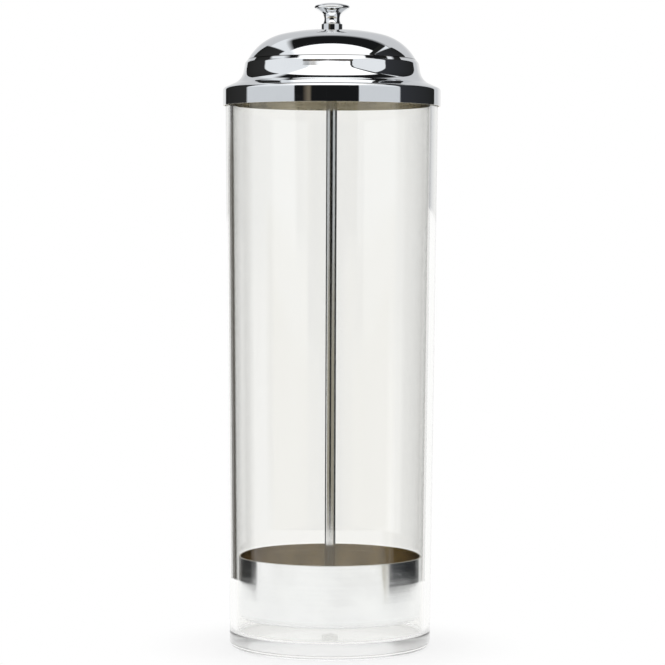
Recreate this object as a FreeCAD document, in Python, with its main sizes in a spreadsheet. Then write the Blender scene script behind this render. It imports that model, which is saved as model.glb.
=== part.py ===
"""Lift-lid straw dispenser: a clear drafted jar, and a domed lid whose rod lifts a cup of straws.

Lengths are millimetres and angles are degrees. The origin is the centre of the jar's underside,
with +Z up. The jar stands alone. The lid, knob, rod, cup and their fasteners lift out together.
"""

import FreeCAD
import Part
import math
import os

import Sketcher

# Driving dimensions: alias, value, meaning
DIMENSIONS = (
    ("jar_width", 92.8, "outside diameter of the jar at its rim"),
    ("jar_height", 244.1, "height of the jar"),
    ("jar_draft", 0.57, "mould draft of the jar's walls"),
    ("jar_wall", 3.2, "thickness of the jar's wall"),
    ("jar_floor", 6.8, "thickness of the jar's floor"),
    ("jar_base_round", 2.8, "radius round the foot of the jar"),
    ("jar_floor_round", 2.0, "radius where the floor meets the wall inside"),
    ("jar_rim_bevel", 0.8, "bevel on both edges of the jar's rim"),
    ("lid_sheet", 0.8, "thickness of the pressed lid"),
    ("skirt_clearance", 0.3, "gap between the lid's skirt and the jar's rim"),
    ("seat_gap", 0.1, "gap between the lid's ledge and the jar's rim"),
    ("skirt_depth", 7.5, "drop of the skirt below the ledge's outer corner"),
    ("skirt_edge_round", 1.6, "radius where the ledge turns into the skirt"),
    ("skirt_hem_bevel", 0.2, "bevel on the cut edge of the skirt"),
    ("ledge_slope", 24.0, "fall of the ledge towards the skirt"),
    ("cavetto_round", 7.2, "radius of the hollow between the ledge and the band"),
    ("band_slope", 10.3, "lean of the band from upright"),
    ("band_inset", 9.6, "distance of the band's top inside the skirt"),
    ("band_rise", 11.05, "height of the band's top above the ledge's corner"),
    ("band_edge_round", 1.3, "radius over the band's top edge"),
    ("step_width", 1.4, "width of the step between the band and the dome"),
    ("step_rise", 1.7, "rise of the step between the band and the dome"),
    ("crease_round", 0.6, "radius in the crease at the foot of the dome"),
    ("dome_crown_radius", 72.6, "radius of the dome over its crown"),
    ("dome_shoulder_radius", 21.9, "radius of the dome's shoulder"),
    ("dome_foot_slope", 61.2, "slope of the dome where it meets the crease"),
    ("crown_land_margin", 0.55, "flat seat on the crown beyond the knob's collar"),
    ("knob_width", 15.5, "diameter of the knob's rim"),
    ("knob_top_radius", 23.6, "radius of the knob's domed top"),
    ("knob_rim_round", 0.88, "radius round the knob's rim"),
    ("knob_neck_width", 6.8, "diameter at the waist of the knob"),
    ("knob_neck_radius", 3.6, "radius of the hollow below the knob's rim"),
    ("knob_waist_rise", 2.2, "height of the waist above the collar"),
    ("knob_flare_slope", 29.6, "slope of the flare from the neck out to the rim"),
    ("knob_collar_step", 0.5, "step from the neck's foot out to the collar"),
    ("knob_collar_height", 2.6, "height of the knob's collar"),
    ("knob_collar_bevel", 0.25, "bevel on the collar's edges"),
    ("knob_bore_relief", 1.2, "empty depth of the knob's bore above the stud"),
    ("rod_width", 4.8, "diameter of the lifting rod"),
    ("rod_shoulder", 0.4, "step from the rod down to its threaded studs"),
    ("stud_in_knob", 5.8, "length of the upper stud inside the knob"),
    ("stud_tip", 0.6, "length of the lower stud past its nut"),
    ("stud_runout", 0.5, "bare stud between the lid's nut and the rod's shoulder"),
    ("stud_bevel", 0.4, "bevel on the studs' ends"),
    ("thread_clearance", 0.05, "radial gap between a stud and its nut or the knob's bore"),
    ("hole_clearance", 0.15, "radial gap between a stud and a drilled or punched hole"),
    ("cup_side_gap", 0.75, "gap between the cup and the jar's wall at the floor"),
    ("cup_floor_gap", 6.1, "gap between the cup and the jar's floor"),
    ("cup_height", 27.4, "height of the cup"),
    ("cup_sheet", 0.7, "thickness of the drawn cup"),
    ("cup_corner_round", 3.4, "radius round the foot of the cup"),
    ("cup_rim_bevel", 0.15, "bevel on the cup's cut rim"),
    ("washer_width", 9.0, "diameter of the plain washers"),
    ("washer_thickness", 0.8, "thickness of the plain washers"),
    ("lock_washer_width", 7.0, "diameter of the split lock washer"),
    ("lock_washer_thickness", 0.9, "thickness of the split lock washer"),
    ("lock_washer_split", 0.7, "width of the lock washer's split"),
    ("nut_flats", 7.0, "width of the nuts across their flats"),
    ("nut_height", 3.2, "height of the nuts"),
)

# Worked-out sizes: alias, formula, meaning. Each part's own heights start at its seat.
FITS = (
    ("jar_rim_radius", "Dims.jar_width / 2", "outside of the jar at its rim"),
    (
        "jar_foot_radius",
        "jar_rim_radius - Dims.jar_height * tan(Dims.jar_draft)",
        "outside of the jar at its foot",
    ),
    ("bore_rim_radius", "jar_rim_radius - Dims.jar_wall", "inside of the jar at its rim"),
    (
        "bore_floor_radius",
        "bore_rim_radius - (Dims.jar_height - Dims.jar_floor) * tan(Dims.jar_draft)",
        "inside of the jar at its floor",
    ),
    ("skirt_radius", "jar_rim_radius + Dims.skirt_clearance + Dims.lid_sheet", "outside of the skirt"),
    ("seat_radius", "jar_rim_radius - Dims.jar_rim_bevel", "edge of the rim that carries the ledge"),
    (
        "lid_height",
        "Dims.jar_height - (skirt_radius - seat_radius) * tan(Dims.ledge_slope)"
        " + (Dims.seat_gap + Dims.lid_sheet) / cos(Dims.ledge_slope)",
        "ledge's corner above the jar's underside, with the ledge seated on the rim",
    ),
    ("band_top_radius", "skirt_radius - Dims.band_inset", "radius of the band's top edge"),
    (
        "cavetto_radius",
        "(band_top_radius"
        " + (Dims.band_rise - skirt_radius * tan(Dims.ledge_slope)) * tan(Dims.band_slope))"
        " / (1 - tan(Dims.ledge_slope) * tan(Dims.band_slope))",
        "radius at which the band's line meets the ledge's line",
    ),
    (
        "cavetto_rise",
        "(skirt_radius - cavetto_radius) * tan(Dims.ledge_slope)",
        "height of that meeting",
    ),
    ("crease_radius", "band_top_radius - Dims.step_width", "radius of the crease at the dome's foot"),
    ("crease_rise", "Dims.band_rise + Dims.step_rise", "height of that crease"),
    (
        "knob_neck_centre_radius",
        "Dims.knob_neck_width / 2 + Dims.knob_neck_radius",
        "centre of the hollow round the knob's neck",
    ),
    (
        "knob_neck_foot_radius",
        "knob_neck_centre_radius - sqrt(Dims.knob_neck_radius^2 - Dims.knob_waist_rise^2)",
        "radius of the neck where it meets the collar",
    ),
    ("knob_collar_radius", "knob_neck_foot_radius + Dims.knob_collar_step", "radius of the collar"),
    (
        "crown_land_radius",
        "knob_collar_radius + Dims.crown_land_margin",
        "radius of the flat seat on the crown",
    ),
    (
        "shoulder_centre_radius",
        "crease_radius - Dims.dome_shoulder_radius * sin(Dims.dome_foot_slope)",
        "radius of the centre of the dome's shoulder",
    ),
    (
        "shoulder_centre_rise",
        "crease_rise - Dims.dome_shoulder_radius * cos(Dims.dome_foot_slope)",
        "height of the centre of the dome's shoulder",
    ),
    (
        "crown_rise",
        "shoulder_centre_rise + Dims.dome_crown_radius"
        " - sqrt((Dims.dome_crown_radius - Dims.dome_shoulder_radius)^2"
        " - (shoulder_centre_radius - crown_land_radius)^2)",
        "height of the crown, where the crown's arc meets the shoulder's arc smoothly",
    ),
    ("crown_height", "lid_height + crown_rise", "crown above the jar's underside"),
    ("crown_underside", "crown_height - Dims.lid_sheet", "inner face of the crown"),
    ("stud_radius", "Dims.rod_width / 2 - Dims.rod_shoulder", "radius of the rod's studs"),
    ("stud_hole_width", "2 * (stud_radius + Dims.hole_clearance)", "hole that a stud passes"),
    ("thread_hole_width", "2 * (stud_radius + Dims.thread_clearance)", "hole a stud screws into"),
    (
        "knob_rim_centre_radius",
        "Dims.knob_width / 2 - Dims.knob_rim_round",
        "centre of the rim's round",
    ),
    (
        "knob_neck_centre_rise",
        "Dims.knob_collar_height + Dims.knob_waist_rise",
        "height of the hollow's centre above the crown",
    ),
    (
        "knob_rim_centre_rise",
        "knob_neck_centre_rise + (Dims.knob_neck_radius + Dims.knob_rim_round"
        " + (knob_rim_centre_radius - knob_neck_centre_radius) * sin(Dims.knob_flare_slope))"
        " / cos(Dims.knob_flare_slope)",
        "height of the centre of the rim's round, with the flare tangent to neck and rim",
    ),
    (
        "knob_height",
        "knob_rim_centre_rise + Dims.knob_top_radius"
        " - sqrt((Dims.knob_top_radius - Dims.knob_rim_round)^2 - knob_rim_centre_radius^2)",
        "height of the knob above the crown",
    ),
    ("knob_bore_depth", "Dims.stud_in_knob + Dims.knob_bore_relief", "depth of the knob's bore"),
    ("lid_washer_height", "crown_underside - Dims.washer_thickness", "underside of the lid's washer"),
    (
        "lid_lock_washer_height",
        "lid_washer_height - Dims.lock_washer_thickness",
        "underside of the lid's lock washer",
    ),
    ("lid_nut_height", "lid_lock_washer_height - Dims.nut_height", "underside of the lid's nut"),
    ("upper_shoulder_height", "lid_nut_height - Dims.stud_runout", "rod's upper shoulder"),
    ("stud_top_height", "crown_height + Dims.stud_in_knob", "top end of the rod"),
    ("cup_seat_height", "Dims.jar_floor + Dims.cup_floor_gap", "underside of the cup"),
    ("cup_radius", "bore_floor_radius - Dims.cup_side_gap", "outside of the cup"),
    ("cup_top_washer_height", "cup_seat_height + Dims.cup_sheet", "washer on the cup's floor"),
    ("lower_shoulder_height", "cup_top_washer_height + Dims.washer_thickness", "rod's lower shoulder"),
    ("cup_bottom_washer_height", "cup_seat_height - Dims.washer_thickness", "washer under the cup"),
    ("cup_nut_height", "cup_bottom_washer_height - Dims.nut_height", "underside of the cup's nut"),
    ("stud_bottom_height", "cup_nut_height - Dims.stud_tip", "bottom end of the rod"),
    ("rod_radius", "Dims.rod_width / 2", "radius of the rod"),
    ("lower_stud_length", "lower_shoulder_height - stud_bottom_height", "length of the lower stud"),
    ("rod_body_top", "upper_shoulder_height - stud_bottom_height", "upper shoulder above the rod's end"),
    ("rod_length", "stud_top_height - stud_bottom_height", "whole length of the rod"),
    ("nut_circumradius", "Dims.nut_flats / 2 / cos(30)", "radius to the nuts' corners"),
)

# A sketch's own origin point, horizontal axis and vertical axis, as constraints name them
AXIS_H = -1
AXIS_V = -2
START = 1
END = 2
CENTRE = 3

NEAR = 1e-4
UPRIGHT = FreeCAD.Vector(0, 0, 1)

doc = FreeCAD.newDocument("StrawDispenser")


def add_sheet(name, rows, as_formula):
    """Lists named values in a spreadsheet, one row each: name, value, meaning."""
    sheet = doc.addObject("Spreadsheet::Sheet", name)
    for row, (alias, value, meaning) in enumerate(rows, start=1):
        sheet.set(f"A{row}", alias)
        sheet.set(f"B{row}", f"={value}" if as_formula else str(value))
        sheet.setAlias(f"B{row}", alias)
        sheet.set(f"C{row}", meaning)
    doc.recompute()
    return sheet


def read(name):
    """The number that a name such as Dims.jar_width stands for."""
    sheet, alias = name.split(".")
    return float(getattr(doc.getObject(sheet), alias))


def bind(feature, **formulas):
    """Ties a feature's properties to named values."""
    for name, formula in formulas.items():
        feature.setExpression(name, formula)


def set_height(part, formula):
    """Stands a part on its seat, at a named height above the jar's underside."""
    part.setExpression("Placement.Base.z", formula)


def new_body(name):
    """A body for one piece of the dispenser, labelled with the piece's name."""
    body = doc.addObject("PartDesign::Body", f"{name}_body")
    body.Label = name
    return body


def origin_plane(body, role):
    """One of the body's own origin planes, found by its role."""
    return next(item for item in body.Origin.OriginFeatures if item.Role == role)


def new_sketch(body, name, role="XZ_Plane"):
    """A sketch on one of the body's origin planes; on XZ_Plane its axes are radius and height."""
    sketch = body.newObject("Sketcher::SketchObject", name)
    sketch.AttachmentSupport = [(origin_plane(body, role), "")]
    sketch.MapMode = "FlatFace"
    return sketch


def hold_point(sketch, geometry, point, radius_name, height_name):
    """Ties a sketch point to a named radius and height; None keeps it on the axis or the base line."""
    for kind, name, axis in (("DistanceX", radius_name, AXIS_V), ("DistanceY", height_name, AXIS_H)):
        if name is None:
            sketch.addConstraint(Sketcher.Constraint("PointOnObject", geometry, point, axis))
            continue
        constraint = Sketcher.Constraint(kind, AXIS_H, START, geometry, point, read(name))
        index = sketch.addConstraint(constraint)
        sketch.setExpression(f"Constraints[{index}]", name)


def hold_radius(sketch, geometry, name):
    """Ties a circle's or arc's radius to a named value."""
    index = sketch.addConstraint(Sketcher.Constraint("Radius", geometry, read(name)))
    sketch.setExpression(f"Constraints[{index}]", name)


def spot(radius_name, height_name):
    """The sketch point at a named radius and height, where None stands for zero."""
    radius = 0.0 if radius_name is None else read(radius_name)
    height = 0.0 if height_name is None else read(height_name)
    return FreeCAD.Vector(radius, height, 0)


def draw_polygon(sketch, corners):
    """A closed outline of straight lines through corners, each a pair of named radius and height."""
    spots = [spot(*corner) for corner in corners]
    count = len(spots)
    for index in range(count):
        sketch.addGeometry(Part.LineSegment(spots[index], spots[(index + 1) % count]), False)
    for index in range(count):
        following = (index + 1) % count
        sketch.addConstraint(Sketcher.Constraint("Coincident", index, END, following, START))
    for index, corner in enumerate(corners):
        hold_point(sketch, index, START, *corner)


def draw_circle(sketch, diameter_name):
    """A circle about the sketch's origin with a named diameter."""
    circle = Part.Circle(FreeCAD.Vector(0, 0, 0), UPRIGHT, read(diameter_name) / 2)
    index = sketch.addGeometry(circle, False)
    sketch.addConstraint(Sketcher.Constraint("Coincident", index, CENTRE, AXIS_H, START))
    width = sketch.addConstraint(Sketcher.Constraint("Diameter", index, read(diameter_name)))
    sketch.setExpression(f"Constraints[{width}]", diameter_name)


def arc_between(centre, radius, first, last):
    """A circle's arc, anticlockwise from the direction of one point to that of another."""
    circle = Part.Circle(centre, UPRIGHT, radius)
    turn_first = math.atan2(first.y - centre.y, first.x - centre.x)
    turn_last = math.atan2(last.y - centre.y, last.x - centre.x)
    return Part.ArcOfCircle(circle, turn_first, turn_last)


def turn(body, sketch, name, kind="Revolution"):
    """Turns a half section once round the body's upright axis, to add or to cut away."""
    feature = body.newObject(f"PartDesign::{kind}", name)
    feature.Profile = sketch
    feature.ReferenceAxis = (sketch, ["V_Axis"])
    feature.Angle = 360.0
    doc.recompute()
    return feature


def cut_axial_hole(body, name, diameter_name, depth_name=None):
    """A round hole up the body's axis from its base plane, to a named depth or right through."""
    before = body.Shape.Volume
    sketch = new_sketch(body, f"{name}_circle", "XY_Plane")
    draw_circle(sketch, diameter_name)
    hole = body.newObject("PartDesign::Pocket", name)
    hole.Profile = sketch
    hole.Reversed = True
    if depth_name is None:
        hole.Type = "ThroughAll"
    else:
        bind(hole, Length=depth_name)
    doc.recompute()
    if body.Shape.Volume >= before:
        raise RuntimeError(f"{name} cuts nothing")
    return hole


def ring_edges(shape, radius_name, height_name=None):
    """Names of the shape's circular edges round the axis, at a named radius and height."""
    radius = read(radius_name)
    height = 0.0 if height_name is None else read(height_name)
    names = []
    for index, edge in enumerate(shape.Edges, start=1):
        if edge.Degenerated or not isinstance(edge.Curve, Part.Circle):
            continue
        if abs(edge.Curve.Radius - radius) < NEAR and abs(edge.Curve.Center.z - height) < NEAR:
            names.append(f"Edge{index}")
    if not names:
        raise RuntimeError(f"no edge at {radius_name}, {height_name}")
    return names


def highest_edges(shape, count):
    """Names of the shape's edges that lie wholly at its top, where there are as many as expected."""
    top = shape.BoundBox.ZMax
    edges = enumerate(shape.Edges, start=1)
    names = [f"Edge{index}" for index, edge in edges if edge.BoundBox.ZMin > top - NEAR]
    if len(names) != count:
        raise RuntimeError(f"{len(names)} edges at the top, not {count}")
    return names


def lowest_edges(shape, count):
    """Names of the shape's edges that lie wholly at its foot, where there are as many as expected."""
    foot = shape.BoundBox.ZMin
    edges = enumerate(shape.Edges, start=1)
    names = [f"Edge{index}" for index, edge in edges if edge.BoundBox.ZMax < foot + NEAR]
    if len(names) != count:
        raise RuntimeError(f"{len(names)} edges at the foot, not {count}")
    return names


def flat_face(shape, height):
    """Name of the shape's level face at a height."""
    for index, face in enumerate(shape.Faces, start=1):
        box = face.BoundBox
        if abs(box.ZMin - height) < NEAR and abs(box.ZMax - height) < NEAR:
            return f"Face{index}"
    raise RuntimeError(f"no level face at {height}")


def round_edges(body, name, edges, radius_name):
    """Rounds edges of the body's last feature to a named radius."""
    base = body.Tip
    fillet = body.newObject("PartDesign::Fillet", name)
    fillet.Base = (base, edges)
    bind(fillet, Radius=radius_name)
    doc.recompute()
    return fillet


def bevel_edges(body, name, edges, size_name):
    """Bevels edges of the body's last feature to a named size."""
    base = body.Tip
    chamfer = body.newObject("PartDesign::Chamfer", name)
    chamfer.Base = (base, edges)
    bind(chamfer, Size=size_name)
    doc.recompute()
    return chamfer


def hollow_out(body, name, open_face, sheet_name):
    """Leaves a sheet of named thickness inside the body's outer faces, open at one face."""
    before = body.Shape.Volume
    base = body.Tip
    shell = body.newObject("PartDesign::Thickness", name)
    shell.Base = (base, [open_face])
    shell.Mode = "Skin"
    shell.Join = "Arc"
    shell.Reversed = True
    bind(shell, Value=sheet_name)
    doc.recompute()
    if not 0 < body.Shape.Volume < before:
        raise RuntimeError(f"{name} leaves no sheet")
    return shell


def make_jar():
    """The clear moulded jar: drafted walls inside and out, a thick floor and eased edges."""
    body = new_body("jar")
    outside = new_sketch(body, "jar_outside")
    draw_polygon(
        outside,
        [
            (None, None),
            ("Fits.jar_foot_radius", None),
            ("Fits.jar_rim_radius", "Dims.jar_height"),
            (None, "Dims.jar_height"),
        ],
    )
    turn(body, outside, "jar_blank")
    round_edges(body, "jar_foot", ring_edges(body.Shape, "Fits.jar_foot_radius"), "Dims.jar_base_round")
    inside = new_sketch(body, "jar_inside")
    draw_polygon(
        inside,
        [
            (None, "Dims.jar_floor"),
            ("Fits.bore_floor_radius", "Dims.jar_floor"),
            ("Fits.bore_rim_radius", "Dims.jar_height"),
            (None, "Dims.jar_height"),
        ],
    )
    turn(body, inside, "jar_hollow", "Groove")
    floor_edges = ring_edges(body.Shape, "Fits.bore_floor_radius", "Dims.jar_floor")
    round_edges(body, "jar_floor_corner", floor_edges, "Dims.jar_floor_round")
    bevel_edges(body, "jar_rim", highest_edges(body.Shape, 2), "Dims.jar_rim_bevel")
    return body


def draw_lid_outline(sketch):
    """Half section of the lid's outer face, with the dome's two arcs tangent to each other.

    The crown's arc starts level at the edge of the land, so its centre is straight below. It turns
    smoothly into the tighter arc of the shoulder, which ends at the crease.
    """
    land = spot("Fits.crown_land_radius", "Fits.crown_rise")
    crease = spot("Fits.crease_radius", "Fits.crease_rise")
    shoulder_centre = spot("Fits.shoulder_centre_radius", "Fits.shoulder_centre_rise")
    crown_radius = read("Dims.dome_crown_radius")
    crown_centre = land - FreeCAD.Vector(0, crown_radius, 0)
    joint = crown_centre + (shoulder_centre - crown_centre).normalize() * crown_radius

    foot = FreeCAD.Vector(0, -read("Dims.skirt_depth"), 0)
    hem = spot("Fits.skirt_radius", None) + foot
    corner = spot("Fits.skirt_radius", None)
    cavetto = spot("Fits.cavetto_radius", "Fits.cavetto_rise")
    band_top = spot("Fits.band_top_radius", "Dims.band_rise")
    crown = spot(None, "Fits.crown_rise")
    outline = [
        Part.LineSegment(foot, hem),
        Part.LineSegment(hem, corner),
        Part.LineSegment(corner, cavetto),
        Part.LineSegment(cavetto, band_top),
        Part.LineSegment(band_top, crease),
        arc_between(shoulder_centre, read("Dims.dome_shoulder_radius"), crease, joint),
        arc_between(crown_centre, crown_radius, joint, land),
        Part.LineSegment(land, crown),
        Part.LineSegment(crown, foot),
    ]
    sketch.addGeometry(outline, False)
    hem_line, skirt, ledge, band, step, shoulder, crown_arc, land_line, axis = range(len(outline))
    corners = ((hem_line, skirt), (skirt, ledge), (ledge, band), (band, step), (step, shoulder))
    for first, second in corners:
        sketch.addConstraint(Sketcher.Constraint("Coincident", first, END, second, START))
    sketch.addConstraint(Sketcher.Constraint("Tangent", shoulder, END, crown_arc, START))
    sketch.addConstraint(Sketcher.Constraint("Tangent", crown_arc, END, land_line, START))
    sketch.addConstraint(Sketcher.Constraint("Coincident", land_line, END, axis, START))
    sketch.addConstraint(Sketcher.Constraint("Coincident", axis, END, hem_line, START))

    sketch.addConstraint(Sketcher.Constraint("Horizontal", hem_line))
    sketch.addConstraint(Sketcher.Constraint("Vertical", skirt))
    sketch.addConstraint(Sketcher.Constraint("Horizontal", land_line))
    sketch.addConstraint(Sketcher.Constraint("PointOnObject", axis, START, AXIS_V))
    sketch.addConstraint(Sketcher.Constraint("PointOnObject", axis, END, AXIS_V))
    depth = sketch.addConstraint(Sketcher.Constraint("DistanceY", skirt, START, skirt, END, -hem.y))
    sketch.setExpression(f"Constraints[{depth}]", "Dims.skirt_depth")
    hold_point(sketch, ledge, START, "Fits.skirt_radius", None)
    hold_point(sketch, band, START, "Fits.cavetto_radius", "Fits.cavetto_rise")
    hold_point(sketch, step, START, "Fits.band_top_radius", "Dims.band_rise")
    hold_point(sketch, shoulder, START, "Fits.crease_radius", "Fits.crease_rise")
    hold_point(sketch, shoulder, CENTRE, "Fits.shoulder_centre_radius", "Fits.shoulder_centre_rise")
    hold_point(sketch, land_line, START, "Fits.crown_land_radius", "Fits.crown_rise")


def make_lid_shell():
    """The pressed lid: dome, crease, band, cavetto, ledge and skirt in one sheet, open below."""
    body = new_body("lid_shell")
    outline = new_sketch(body, "lid_outline")
    draw_lid_outline(outline)
    turn(body, outline, "lid_form")
    rounds = (
        ("lid_cavetto", "Fits.cavetto_radius", "Fits.cavetto_rise", "Dims.cavetto_round"),
        ("lid_skirt_edge", "Fits.skirt_radius", None, "Dims.skirt_edge_round"),
        ("lid_band_edge", "Fits.band_top_radius", "Dims.band_rise", "Dims.band_edge_round"),
        ("lid_crease", "Fits.crease_radius", "Fits.crease_rise", "Dims.crease_round"),
    )
    for name, radius_name, height_name, round_name in rounds:
        round_edges(body, name, ring_edges(body.Shape, radius_name, height_name), round_name)
    open_face = flat_face(body.Shape, body.Shape.BoundBox.ZMin)
    hollow_out(body, "lid_sheet_form", open_face, "Dims.lid_sheet")
    cut_axial_hole(body, "lid_stud_hole", "Fits.stud_hole_width")
    bevel_edges(body, "lid_hem", lowest_edges(body.Shape, 2), "Dims.skirt_hem_bevel")
    set_height(body, "Fits.lid_height")
    return body


def draw_knob_outline(sketch):
    """Half section of the knob: collar, hollow neck, flared underside, round rim and domed top.

    Neck, flare, rim and top are each tangent to the next. The flare is the straight line that leaves
    the neck's hollow and reaches the rim's round at its own slope. The top's arc has its centre on
    the axis.
    """
    neck_centre = spot("Fits.knob_neck_centre_radius", "Fits.knob_neck_centre_rise")
    neck_radius = read("Dims.knob_neck_radius")
    rim_centre = spot("Fits.knob_rim_centre_radius", "Fits.knob_rim_centre_rise")
    rim_radius = read("Dims.knob_rim_round")
    slope = math.radians(read("Dims.knob_flare_slope"))
    normal = FreeCAD.Vector(-math.sin(slope), math.cos(slope), 0)
    flare_in = neck_centre + normal * neck_radius
    flare_out = rim_centre - normal * rim_radius

    top = spot(None, "Fits.knob_height")
    top_radius = read("Dims.knob_top_radius")
    top_centre = top - FreeCAD.Vector(0, top_radius, 0)
    joint = top_centre + (rim_centre - top_centre).normalize() * top_radius

    neck_foot = spot("Fits.knob_neck_foot_radius", "Dims.knob_collar_height")
    collar_outer = spot("Fits.knob_collar_radius", "Dims.knob_collar_height")
    collar_foot = spot("Fits.knob_collar_radius", None)
    seat = spot(None, None)
    outline = [
        Part.LineSegment(seat, collar_foot),
        Part.LineSegment(collar_foot, collar_outer),
        Part.LineSegment(collar_outer, neck_foot),
        arc_between(neck_centre, neck_radius, flare_in, neck_foot),
        Part.LineSegment(flare_in, flare_out),
        arc_between(rim_centre, rim_radius, flare_out, joint),
        arc_between(top_centre, top_radius, joint, top),
        Part.LineSegment(top, seat),
    ]
    sketch.addGeometry(outline, False)
    under, collar, collar_face, neck, flare, rim, top_arc, axis = range(len(outline))
    sketch.addConstraint(Sketcher.Constraint("Coincident", under, END, collar, START))
    sketch.addConstraint(Sketcher.Constraint("Coincident", collar, END, collar_face, START))
    sketch.addConstraint(Sketcher.Constraint("Coincident", collar_face, END, neck, END))
    sketch.addConstraint(Sketcher.Constraint("Tangent", neck, START, flare, START))
    sketch.addConstraint(Sketcher.Constraint("Tangent", flare, END, rim, START))
    sketch.addConstraint(Sketcher.Constraint("Tangent", rim, END, top_arc, START))
    sketch.addConstraint(Sketcher.Constraint("Coincident", top_arc, END, axis, START))
    sketch.addConstraint(Sketcher.Constraint("Coincident", axis, END, under, START))

    sketch.addConstraint(Sketcher.Constraint("Coincident", under, START, AXIS_H, START))
    sketch.addConstraint(Sketcher.Constraint("Horizontal", collar_face))
    sketch.addConstraint(Sketcher.Constraint("PointOnObject", axis, START, AXIS_V))
    sketch.addConstraint(Sketcher.Constraint("PointOnObject", top_arc, CENTRE, AXIS_V))
    hold_point(sketch, under, END, "Fits.knob_collar_radius", None)
    hold_point(sketch, collar, END, "Fits.knob_collar_radius", "Dims.knob_collar_height")
    hold_point(sketch, neck, CENTRE, "Fits.knob_neck_centre_radius", "Fits.knob_neck_centre_rise")
    hold_point(sketch, rim, CENTRE, "Fits.knob_rim_centre_radius", "Fits.knob_rim_centre_rise")
    hold_radius(sketch, neck, "Dims.knob_neck_radius")
    hold_radius(sketch, rim, "Dims.knob_rim_round")
    hold_radius(sketch, top_arc, "Dims.knob_top_radius")


def make_lid_knob():
    """The turned knob, with a blind threaded bore for the rod's upper stud."""
    body = new_body("lid_knob")
    outline = new_sketch(body, "knob_outline")
    draw_knob_outline(outline)
    turn(body, outline, "knob_form")
    collar_edges = ring_edges(body.Shape, "Fits.knob_collar_radius")
    collar_edges += ring_edges(body.Shape, "Fits.knob_collar_radius", "Dims.knob_collar_height")
    bevel_edges(body, "knob_collar_edges", collar_edges, "Dims.knob_collar_bevel")
    cut_axial_hole(body, "knob_bore", "Fits.thread_hole_width", "Fits.knob_bore_depth")
    set_height(body, "Fits.crown_height")
    return body


def make_lift_rod():
    """The lifting rod, turned down to a threaded stud at each end."""
    body = new_body("lift_rod")
    outline = new_sketch(body, "rod_outline")
    draw_polygon(
        outline,
        [
            (None, None),
            ("Fits.stud_radius", None),
            ("Fits.stud_radius", "Fits.lower_stud_length"),
            ("Fits.rod_radius", "Fits.lower_stud_length"),
            ("Fits.rod_radius", "Fits.rod_body_top"),
            ("Fits.stud_radius", "Fits.rod_body_top"),
            ("Fits.stud_radius", "Fits.rod_length"),
            (None, "Fits.rod_length"),
        ],
    )
    turn(body, outline, "rod_form")
    tips = ring_edges(body.Shape, "Fits.stud_radius")
    tips += ring_edges(body.Shape, "Fits.stud_radius", "Fits.rod_length")
    bevel_edges(body, "rod_tips", tips, "Dims.stud_bevel")
    set_height(body, "Fits.stud_bottom_height")
    return body


def make_straw_cup():
    """The drawn cup that stands on the rod's lower shoulder and carries the straws."""
    body = new_body("straw_cup")
    outline = new_sketch(body, "cup_outline")
    draw_polygon(
        outline,
        [
            (None, None),
            ("Fits.cup_radius", None),
            ("Fits.cup_radius", "Dims.cup_height"),
            (None, "Dims.cup_height"),
        ],
    )
    turn(body, outline, "cup_blank")
    round_edges(body, "cup_corner", ring_edges(body.Shape, "Fits.cup_radius"), "Dims.cup_corner_round")
    open_face = flat_face(body.Shape, read("Dims.cup_height"))
    hollow_out(body, "cup_sheet_form", open_face, "Dims.cup_sheet")
    cut_axial_hole(body, "cup_stud_hole", "Fits.stud_hole_width")
    bevel_edges(body, "cup_rim", highest_edges(body.Shape, 2), "Dims.cup_rim_bevel")
    set_height(body, "Fits.cup_seat_height")
    return body


def cut_from(name, blank, tool):
    """One solid with another taken out of it."""
    cut = doc.addObject("Part::Cut", name)
    cut.Base = blank
    cut.Tool = tool
    doc.recompute()
    if cut.Shape.Volume >= blank.Shape.Volume:
        raise RuntimeError(f"{name} cuts nothing")
    return cut


def round_bar(name, radius_formula, height_name):
    """A cylinder on the axis, used as a ring's blank or as its bore."""
    bar = doc.addObject("Part::Cylinder", name)
    bind(bar, Radius=radius_formula, Height=height_name)
    return bar


def make_washer(name, height_name):
    """A flat ring round a stud, at a named height."""
    blank = round_bar(f"{name}_blank", "Dims.washer_width / 2", "Dims.washer_thickness")
    bore = round_bar(f"{name}_bore", "Fits.stud_hole_width / 2", "Dims.washer_thickness")
    washer = cut_from(f"{name}_ring", blank, bore)
    washer.Label = name
    set_height(washer, height_name)
    return washer


def make_lock_washer(name, height_name):
    """A ring with one split across it, pressed flat by its nut."""
    thickness_name = "Dims.lock_washer_thickness"
    blank = round_bar(f"{name}_blank", "Dims.lock_washer_width / 2", thickness_name)
    bore = round_bar(f"{name}_bore", "Fits.stud_hole_width / 2", thickness_name)
    ring = cut_from(f"{name}_ring", blank, bore)
    gap = doc.addObject("Part::Box", f"{name}_gap")
    bind(gap, Length="Dims.lock_washer_width", Width="Dims.lock_washer_split", Height=thickness_name)
    gap.setExpression("Placement.Base.y", "-Dims.lock_washer_split / 2")
    washer = cut_from(f"{name}_split_ring", ring, gap)
    washer.Label = name
    set_height(washer, height_name)
    return washer


def make_nut(name, height_name):
    """A hexagon nut with a plain bore, one thread clearance larger than the stud."""
    blank = doc.addObject("Part::Prism", f"{name}_blank")
    blank.Polygon = 6
    bind(blank, Circumradius="Fits.nut_circumradius", Height="Dims.nut_height")
    bore = round_bar(f"{name}_bore", "Fits.thread_hole_width / 2", "Dims.nut_height")
    nut = cut_from(f"{name}_hexagon", blank, bore)
    nut.Label = name
    set_height(nut, height_name)
    return nut


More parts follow.
